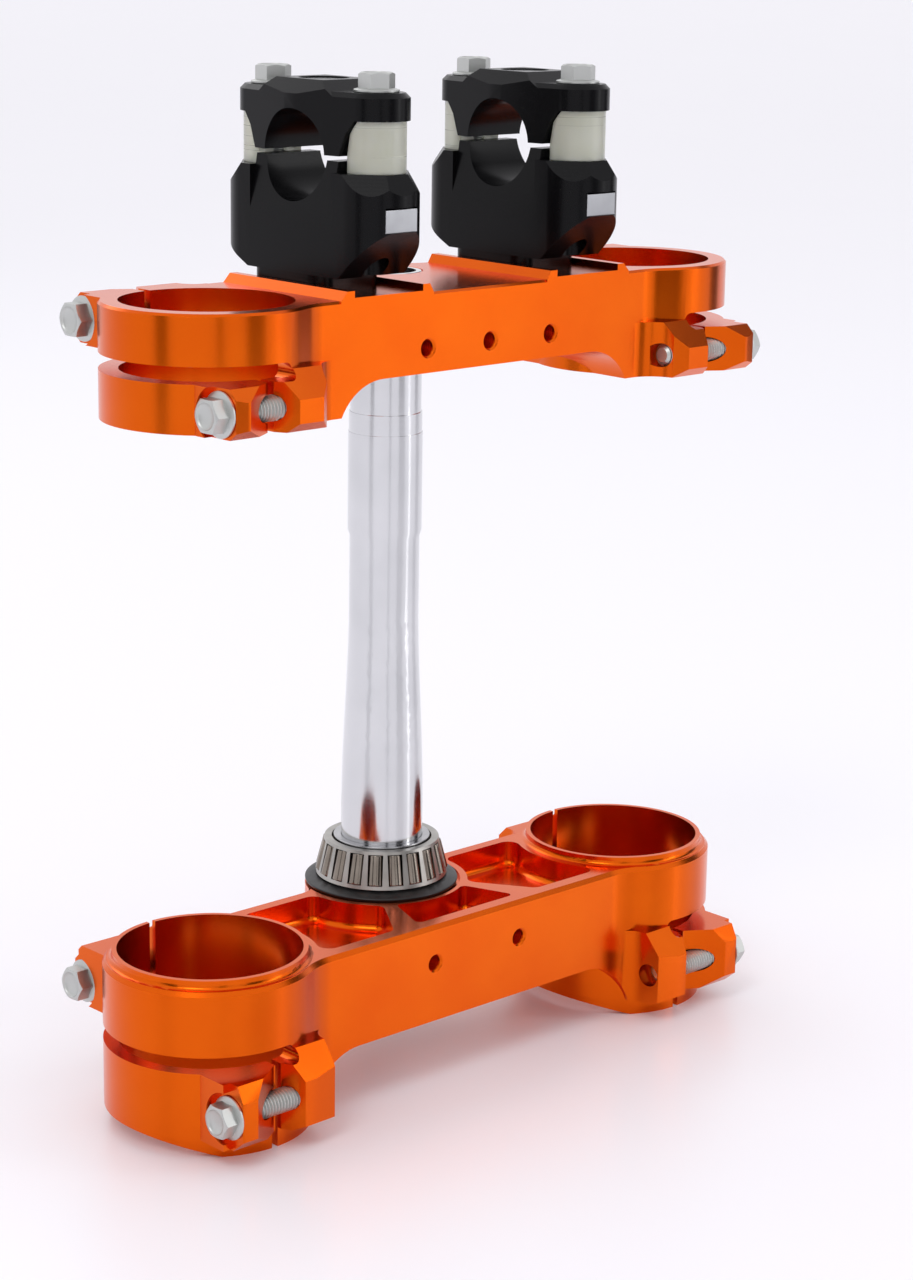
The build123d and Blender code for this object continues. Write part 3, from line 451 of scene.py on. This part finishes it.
def settle(bm, name, material, body, node, smooth=35.0):
    """Turns a mesh into a piece that rides on its body and stands for its node, if any.

    Edges that turn by more than smooth degrees stay sharp to the eye.
    """
    mesh = bpy.data.meshes.new(name)
    bm.normal_update()
    for face in bm.faces:
        face.smooth = True
    for edge in bm.edges:
        if len(edge.link_faces) == 2 and edge.calc_face_angle(0) > math.radians(smooth):
            edge.smooth = False
    bm.to_mesh(mesh)
    bm.free()
    mesh.materials.append(material)
    piece = bpy.data.objects.new(name, mesh)
    bpy.context.scene.collection.objects.link(piece)
    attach(piece, body)
    if node:
        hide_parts(node)
    return piece


def body_of(node):
    return frame["nodes"][node]["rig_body"]


def merged(node):
    """A copy of a node's mesh with its loose triangles joined."""
    bm = bmesh.new()
    bm.from_mesh(frame["nodes"][node].data)
    bmesh.ops.remove_doubles(bm, verts=bm.verts, dist=0.0005 * MM)
    return bm


def solids(node):
    """The lowest and highest corner of each separate solid of a node."""
    bm = merged(node)
    left = set(bm.verts)
    boxes = []
    while left:
        grown = [left.pop()]
        island = list(grown)
        while grown:
            vert = grown.pop()
            for edge in vert.link_edges:
                other = edge.other_vert(vert)
                if other in left:
                    left.discard(other)
                    grown.append(other)
                    island.append(other)
        low = Vector([min(v.co[i] for v in island) for i in range(3)])
        high = Vector([max(v.co[i] for v in island) for i in range(3)])
        boxes.append((low, high))
    bm.free()
    return sorted(boxes, key=lambda b: tuple(round(c, 5) for c in b[0]))


def edge_broken(node, name, material, width, planes=()):
    """A node's own shape with its flats whole and its sharp edges broken.

    Each plane, a point and the way out, cuts off what lies beyond it.
    """
    bm = merged(node)
    bmesh.ops.dissolve_limit(
        bm,
        angle_limit=math.radians(FLAT_ANGLE),
        use_dissolve_boundaries=False,
        verts=bm.verts,
        edges=bm.edges,
    )
    for point, way in planes:
        cut = bmesh.ops.bisect_plane(
            bm,
            geom=bm.verts[:] + bm.edges[:] + bm.faces[:],
            dist=0.0001 * MM,
            plane_co=point,
            plane_no=way,
            clear_outer=True,
        )
        rim = [g for g in cut["geom_cut"] if isinstance(g, bmesh.types.BMEdge)]
        bmesh.ops.holes_fill(bm, edges=rim, sides=0)
    sharp = [
        e
        for e in bm.edges
        if len(e.link_faces) == 2 and e.calc_face_angle(0) > math.radians(SHARP_ANGLE)
    ]
    bmesh.ops.bevel(
        bm,
        geom=sharp,
        offset=width,
        offset_type="OFFSET",
        affect="EDGES",
        segments=2,
        profile=0.5,
        material=-1,
        clamp_overlap=True,
        loop_slide=True,
    )
    piece = settle(bm, name, material, body_of(node), node, smooth=40.0)
    even = piece.modifiers.new("flat faces stay flat", "WEIGHTED_NORMAL")
    even.mode = "FACE_AREA"
    even.keep_sharp = True


def turned(profile, steps):
    """A mesh turned about the upright axis from (radius, height) points in millimetres.

    The first and the last point lie on the axis.
    """
    bm = bmesh.new()
    rim = [bm.verts.new((r * MM, 0, z * MM)) for r, z in profile]
    edges = [bm.edges.new(pair) for pair in zip(rim, rim[1:])]
    bmesh.ops.spin(
        bm,
        geom=rim + edges,
        cent=(0, 0, 0),
        axis=UP,
        angle=2 * math.pi,
        steps=steps,
        use_merge=True,
    )
    bmesh.ops.remove_doubles(bm, verts=bm.verts, dist=0.001 * MM)
    bmesh.ops.recalc_face_normals(bm, faces=bm.faces)
    return bm


def joined(target, source, move):
    """Adds a copy of one mesh to another at its place."""
    mesh = bpy.data.meshes.new("part of a group")
    source.to_mesh(mesh)
    mesh.transform(move)
    target.from_mesh(mesh)
    bpy.data.meshes.remove(mesh)


def thread_coil(root, crest, pitch, length):
    """A raised thread wound up the upright axis, from its root radius to its crest.

    A crest of smaller radius than the root makes the thread of a tapped hole.
    """
    bm = bmesh.new()
    section = [
        bm.verts.new((root * MM, 0, 0)),
        bm.verts.new((crest * MM, 0, 0.42 * pitch * MM)),
        bm.verts.new((crest * MM, 0, 0.54 * pitch * MM)),
        bm.verts.new((root * MM, 0, 0.96 * pitch * MM)),
    ]
    start = bm.faces.new(section)
    turns = (length - pitch) / pitch
    count = int(turns * COIL_STEPS)
    bmesh.ops.spin(
        bm,
        geom=[start],
        cent=(0, 0, 0),
        axis=UP,
        dvec=(0, 0, turns * pitch * MM / count),
        angle=2 * math.pi * turns,
        steps=count,
        use_merge=False,
    )
    bmesh.ops.remove_doubles(bm, verts=bm.verts, dist=0.0005 * MM)
    bmesh.ops.recalc_face_normals(bm, faces=bm.faces)
    return bm


def raised(bm, faces, keep=False):
    """Extrudes faces and gives the new points and faces; the old faces go unless kept."""
    made = bmesh.ops.extrude_face_region(bm, geom=faces)["geom"]
    if not keep:
        bmesh.ops.delete(bm, geom=faces, context="FACES_ONLY")
    points = [g for g in made if isinstance(g, bmesh.types.BMVert)]
    return points, [g for g in made if isinstance(g, bmesh.types.BMFace)]


def hexagon(across, height, dish_radius, dish_depth):
    """A hexagon head whose top corners are turned off, with a round dish in its top."""
    bm = bmesh.new()
    bmesh.ops.create_circle(bm, cap_ends=True, segments=6, radius=across / math.sqrt(3) * MM)
    bmesh.ops.subdivide_edges(bm, edges=bm.edges[:], cuts=7, use_grid_fill=False)
    crown = bm.faces[:]
    ring, crown = raised(bm, crown, keep=True)
    crown_radius = 0.475 * across * MM
    for vert in ring:
        beyond = max(0.0, vert.co.xy.length - crown_radius)
        vert.co.z = height * MM - beyond * math.tan(math.radians(HEAD_CONE))
    ring, crown = raised(bm, crown)
    for vert in ring:
        vert.co.xy = vert.co.xy.normalized() * crown_radius
        vert.co.z = height * MM
    for angle in DISH_ANGLES:
        radius = dish_radius * math.cos(math.radians(angle))
        depth = dish_depth * math.sin(math.radians(angle))
        ring, crown = raised(bm, crown)
        for vert in ring:
            vert.co.xy = vert.co.xy.normalized() * radius * MM
            vert.co.z = (height - depth) * MM
    bmesh.ops.remove_doubles(bm, verts=bm.verts, dist=0.0005 * MM)
    bmesh.ops.recalc_face_normals(bm, faces=bm.faces)
    return bm


def flange_bolt(length, flange_radius):
    """A flange bolt with its head up and the flange's seat at height 0."""
    bolts = look().bolts
    across = bolts.across_flats / MM
    shank = bolts.thread_diameter / MM / 2
    pitch = bolts.thread_pitch / MM
    rim = bolts.flange_rim / MM
    root = shank - THREAD_DEPTH * pitch
    bm = bmesh.new()
    body = turned(
        (
            (0.0, -length),
            (root - 0.9, -length),
            (root, -length + 0.9),
            (root, 0.0),
            (flange_radius - 0.25, 0.0),
            (flange_radius, 0.25),
            (flange_radius, rim - 0.15),
            (flange_radius - 0.2, rim),
            (across / 2 + 0.35, rim + 0.35),
            (across / 2 - 0.5, rim + 0.6),
            (0.0, rim + 0.6),
        ),
        steps=64,
    )
    head = hexagon(across, HEAD_TOP - rim, bolts.dish_radius / MM, bolts.dish_depth / MM)
    coil = thread_coil(root - 0.15, shank, pitch, length - 1.0)
    for part, height in ((body, 0.0), (head, rim), (coil, 0.4 - length)):
        joined(bm, part, Matrix.Translation((0, 0, height * MM)))
        part.free()
    return bm


class BoltSizes(bpy.types.PropertyGroup):
    across_flats: bpy.props.FloatProperty(
        name="Across flats",
        description="Width of the hexagon heads across their flats",
        unit="LENGTH",
        default=10 * MM,
    )
    thread_diameter: bpy.props.FloatProperty(
        name="Thread diameter",
        description="Outside diameter of the clamp bolts' thread",
        unit="LENGTH",
        default=8 * MM,
    )
    thread_pitch: bpy.props.FloatProperty(
        name="Thread pitch",
        description="Distance from one turn of the bolts' thread to the next",
        unit="LENGTH",
        default=1.25 * MM,
    )
    flange_rim: bpy.props.FloatProperty(
        name="Flange rim",
        description="Thickness of the flange at its rim",
        unit="LENGTH",
        default=0.9 * MM,
    )
    dish_radius: bpy.props.FloatProperty(
        name="Dish radius",
        description="Radius of the shallow dish in a bolt's head",
        unit="LENGTH",
        default=4.15 * MM,
    )
    dish_depth: bpy.props.FloatProperty(
        name="Dish depth",
        description="Depth of the dish in a bolt's head",
        unit="LENGTH",
        default=1.2 * MM,
    )


class ClampLook(bpy.types.PropertyGroup):
    bolts: bpy.props.PointerProperty(type=BoltSizes)
    orange: bpy.props.FloatVectorProperty(
        name="Orange",
        description="Brightest shade of the orange anodised clamps",
        subtype="COLOR",
        size=3,
        min=0,
        max=1,
        default=srgb("E9680A"),
    )
    orange_deep: bpy.props.FloatVectorProperty(
        name="Deep orange",
        description="Deepest shade of the orange anodised clamps",
        subtype="COLOR",
        size=3,
        min=0,
        max=1,
        default=srgb("D94F04"),
    )
    edge_break: bpy.props.FloatProperty(
        name="Edge break",
        description="Width of the small chamfer that takes off every sharp edge",
        unit="LENGTH",
        default=0.3 * MM,
    )
    floor_size: bpy.props.FloatProperty(
        name="Floor size",
        description="Side of the square floor",
        unit="LENGTH",
        default=80.0,
    )
    floor_colour: bpy.props.FloatVectorProperty(
        name="Floor colour",
        description="Colour of the pale studio floor",
        subtype="COLOR",
        size=3,
        min=0,
        max=1,
        default=srgb("F9F8FC"),
    )
    key_power: bpy.props.FloatProperty(
        name="Key light",
        description="Power of the large soft light",
        unit="POWER",
        default=4.5,
    )


def new_object(name, data):
    """An object in the scene that holds the data given."""
    made = bpy.data.objects.new(name, data)
    bpy.context.scene.collection.objects.link(made)
    return made


def sheet_on_stage(bm, name, material):
    """A flat sheet that isn't part of the clamp."""
    mesh = bpy.data.meshes.new(name)
    bm.to_mesh(mesh)
    bm.free()
    mesh.materials.append(material)
    sheet = new_object(name, mesh)
    return sheet


def lay_floor():
    bm = bmesh.new()
    bmesh.ops.create_grid(bm, x_segments=2, y_segments=2, size=look().floor_size / 2)
    sheet_on_stage(bm, "studio_floor", kept("satin_white_acrylic", white_acrylic))


def hang_lamps():
    key = ("key_softbox", KEY_SIZE, look().key_power, KEY_PLACE)
    for name, size, power, where in (key,) + LAMPS:
        data = bpy.data.lights.new(name, "AREA")
        data.shape = "RECTANGLE"
        data.size, data.size_y = size
        data.energy = power
        lamp = new_object(name, data)
        lamp.location = where
        aim = Vector(LAMP_AIM) - Vector(where)
        lamp.rotation_euler = aim.to_track_quat("-Z", "Y").to_euler()


def stand_cards():
    """Dark cards beside the camera, which give the bright metal its dark bands."""
    card_stock = kept("matt_black_card", black_card)
    for name, width, height, where in DARK_CARDS:
        bm = bmesh.new()
        bmesh.ops.create_grid(bm, x_segments=1, y_segments=1, size=0.5)
        bmesh.ops.scale(bm, vec=(width, height, 1), verts=bm.verts)
        facing = (Vector(CARD_AIM) - Vector(where)).to_track_quat("Z", "Y")
        bmesh.ops.rotate(bm, matrix=facing.to_matrix(), verts=bm.verts)
        bmesh.ops.translate(bm, vec=where, verts=bm.verts)
        card = sheet_on_stage(bm, name, card_stock)
        card.visible_camera = False
        card.visible_diffuse = False
        card.visible_shadow = False


def light_world():
    """A pale world, full white for the camera and behind metal and urethane."""
    world = bpy.data.worlds.new("pale_studio")
    bpy.context.scene.world = world
    world.use_nodes = True
    tree = world.node_tree
    tree.nodes.clear()
    ray = add_node(tree, "ShaderNodeLightPath")
    seen = add_node(
        tree,
        "ShaderNodeMath",
        {0: ray.outputs["Is Camera Ray"], 1: ray.outputs["Is Transmission Ray"]},
        operation="MAXIMUM",
    )
    shown = add_node(
        tree,
        "ShaderNodeMath",
        {0: seen.outputs[0], 1: ray.outputs["Is Glossy Ray"]},
        operation="MAXIMUM",
    )
    level = add_node(
        tree,
        "ShaderNodeMapRange",
        {"Value": shown.outputs[0], "To Min": 0.97, "To Max": 1.0},
    )
    light = add_node(
        tree,
        "ShaderNodeBackground",
        {"Color": srgb("FAF9FD", 1), "Strength": level.outputs["Result"]},
    )
    output = add_node(tree, "ShaderNodeOutputWorld")
    tree.links.new(light.outputs[0], output.inputs["Surface"])


def set_camera():
    """The photograph's viewpoint."""
    view = bpy.data.cameras.new("photo_view")
    view.sensor_fit = "VERTICAL"
    view.sensor_height = CAMERA_SENSOR
    view.lens = CAMERA_LENS
    view.clip_start = 0.01
    view.clip_end = 120
    camera = new_object("photo_view", view)
    turn, rise = math.radians(CAMERA_TURN), math.radians(CAMERA_RISE)
    back = Vector(
        (
            math.sin(turn) * math.cos(rise),
            -math.cos(turn) * math.cos(rise),
            math.sin(rise),
        )
    )
    camera.matrix_world = (
        Matrix.Translation(CAMERA_PLACE)
        @ (-back).to_track_quat("-Z", "Y").to_matrix().to_4x4()
        @ Matrix.Rotation(math.radians(CAMERA_ROLL), 4, "Z")
    )
    bpy.context.scene.camera = camera


class CLAMP_OT_stage(bpy.types.Operator):
    """Floor, soft lights, world and camera"""

    bl_idname = "clamp.stage"
    bl_label = "Stage"

    def execute(self, context):
        lay_floor()
        hang_lamps()
        stand_cards()
        light_world()
        set_camera()
        context.scene.view_settings.view_transform = "Standard"
        return {"FINISHED"}


class CLAMP_OT_clamps(bpy.types.Operator):
    """Lower and upper clamp in orange anodised aluminium"""

    bl_idname = "clamp.clamps"
    bl_label = "Clamps"

    def execute(self, context):
        low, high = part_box("lower_clamp")
        orange = kept("orange_anodised_aluminium", orange_anodised, (low + high) / 2)
        for node in ("lower_clamp", "upper_clamp"):
            edge_broken(node, node + "_machined", orange, look().edge_break)
        # Threads of the tapped holes in the front walls
        quarter_back = Matrix.Rotation(-math.pi / 2, 4, "X")
        for node, (wall_y, places) in TAPPED_HOLES.items():
            group = bmesh.new()
            for x, z in places:
                coil = thread_coil(TAPPED_ROOT, TAPPED_CREST, TAPPED_PITCH, TAPPED_LENGTH)
                start = Vector((x, wall_y + TAPPED_START, z)) * MM
                joined(group, coil, Matrix.Translation(start) @ quarter_back)
                coil.free()
            settle(group, node + "_threads", orange, body_of(node), None)
        return {"FINISHED"}


class CLAMP_OT_stem(bpy.types.Operator):
    """Steering stem, turned and polished"""

    bl_idname = "clamp.stem"
    bl_label = "Stem"

    def execute(self, context):
        low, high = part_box("steering_stem")
        metal = kept("turned_aluminium", turned_aluminium, (low + high) / 2)
        edge_broken(
            "steering_stem", "steering_stem_turned", metal, 0.2 * MM
        )
        return {"FINISHED"}


class CLAMP_OT_bearing(bpy.types.Operator):
    """Taper roller bearing and its rubber seal"""

    bl_idname = "clamp.bearing"
    bl_label = "Bearing"

    def execute(self, context):
        rubber = kept("moulded_nitrile_rubber", moulded_rubber)
        ground = kept("ground_bearing_steel", ground_steel)
        pressed = kept("pressed_sheet_steel", pressed_steel)
        oiled = kept("oiled_roller_steel", oiled_roller_steel)
        edge_broken("bearing_seal", "bearing_seal_lip", rubber, 0.3 * MM)
        edge_broken("bearing_cone", "bearing_cone_ground", ground, 0.3 * MM)
        edge_broken("bearing_cage", "bearing_cage_pressed", pressed, 0.15 * MM)
        edge_broken("bearing_rollers", "bearing_rollers_ground", oiled, 0.3 * MM)
        return {"FINISHED"}


def corner_planes(node):
    """The cuts that mill off a base's top corners round each of its urethane blocks."""
    low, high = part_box(node)
    planes = []
    for end, y in ((-1, low.y), (1, high.y)):
        axis = Vector(
            ((low.x + high.x) / 2, y - end * BLOCK_AXIS * MM, high.z - SHOULDER_DROP * MM)
        )
        for turn in map(math.radians, CORNER_TURNS):
            out = Vector((math.sin(turn), end * math.cos(turn), 0))
            planes.append((axis + out * CORNER_REACH * MM, (out + UP * CORNER_RISE).normalized()))
    return planes


class CLAMP_OT_mounts(bpy.types.Operator):
    """Handlebar mounts: bases, caps, urethane blocks and block nuts"""

    bl_idname = "clamp.mounts"
    bl_label = "Handlebar mounts"

    def execute(self, context):
        urethane = kept("cast_urethane", cast_urethane)
        milled = kept("milled_aluminium", milled_nut_aluminium)
        low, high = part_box("bar_mount_base_left")
        black = kept("black_anodised_aluminium", black_anodised, (low + high) / 2)
        for side in ("left", "right"):
            for part, planes in (
                ("bar_mount_base_" + side, corner_planes("bar_mount_base_" + side)),
                ("bar_cap_" + side, ()),
            ):
                edge_broken(
                    part, part + "_milled", black, look().edge_break, planes
                )
            for end in ("front", "rear"):
                node = f"elastomer_{side}_{end}"
                edge_broken(node, node + "_cast", urethane, 0.3 * MM)
        edge_broken(
            "bar_clamp_nuts", "bar_clamp_nuts_milled", milled, 0.3 * MM
        )
        return {"FINISHED"}


class CLAMP_OT_bolts(bpy.types.Operator):
    """Flange bolts of the clamps and of the handlebar caps"""

    bl_idname = "clamp.bolts"
    bl_label = "Flange bolts"

    def execute(self, context):
        coat = kept("zinc_flake_steel", zinc_flake)
        for node, upright in (
            ("lower_pinch_bolts", False),
            ("upper_pinch_bolts", False),
            ("bar_clamp_bolts", True),
        ):
            boxes = solids(node)
            if len(boxes) != 4:
                raise RuntimeError(f"{node} has {len(boxes)} bolts instead of 4")
            group = bmesh.new()
            for low, high in boxes:
                centre = (low + high) / 2
                flange_radius = (high.y - low.y) / 2 / MM
                total = (high.z - low.z if upright else high.x - low.x) / MM
                bolt = flange_bolt(total - HEAD_TOP, flange_radius)
                if upright:
                    move = Matrix.Translation((centre.x, centre.y, high.z - HEAD_TOP * MM))
                else:
                    out = 1 if centre.x > 0 else -1
                    seat = (high.x if out > 0 else low.x) - out * HEAD_TOP * MM
                    move = Matrix.Translation((seat, centre.y, centre.z)) @ Matrix.Rotation(
                        out * math.pi / 2, 4, "Y"
                    )
                joined(group, bolt, move)
                bolt.free()
            settle(group, node + "_coated", coat, body_of(node), node)
        return {"FINISHED"}


class CLAMP_OT_screws(bpy.types.Operator):
    """Screws and washers under the handlebar mounts"""

    bl_idname = "clamp.screws"
    bl_label = "Mount screws"

    def execute(self, context):
        plated = kept("zinc_plated_steel", plated_screw_steel)
        for node, width in (("bar_mount_screws", 0.3), ("bar_mount_washers", 0.2)):
            edge_broken(node, node + "_plated", plated, width * MM)
        return {"FINISHED"}


OPERATORS = (
    CLAMP_OT_stage,
    CLAMP_OT_clamps,
    CLAMP_OT_stem,
    CLAMP_OT_bearing,
    CLAMP_OT_mounts,
    CLAMP_OT_bolts,
    CLAMP_OT_screws,
)


class CLAMP_PT_panel(bpy.types.Panel):
    """Lists the pieces of the triple clamp"""

    bl_idname = "CLAMP_PT_panel"
    bl_label = "Triple clamp"
    bl_space_type = "VIEW_3D"
    bl_region_type = "UI"
    bl_category = "Clamp"

    def draw(self, context):
        for operator in OPERATORS:
            self.layout.operator(operator.bl_idname)
        for name in ("orange", "orange_deep", "edge_break", "floor_colour", "key_power"):
            self.layout.prop(look(), name)
        for name in ("across_flats", "thread_diameter", "thread_pitch", "flange_rim"):
            self.layout.prop(look().bolts, name)


CLASSES = (BoltSizes, ClampLook) + OPERATORS + (CLAMP_PT_panel,)


def register():
    for made in CLASSES:
        bpy.utils.register_class(made)
    bpy.types.Scene.clamp_look = bpy.props.PointerProperty(type=ClampLook)


def unregister():
    del bpy.types.Scene.clamp_look
    for made in reversed(CLASSES):
        bpy.utils.unregister_class(made)


def main():
    register()
    bpy.ops.clamp.stage()
    bpy.ops.clamp.clamps()
    bpy.ops.clamp.stem()
    bpy.ops.clamp.bearing()
    bpy.ops.clamp.mounts()
    bpy.ops.clamp.bolts()
    bpy.ops.clamp.screws()


if __name__ == "__main__":
    main()
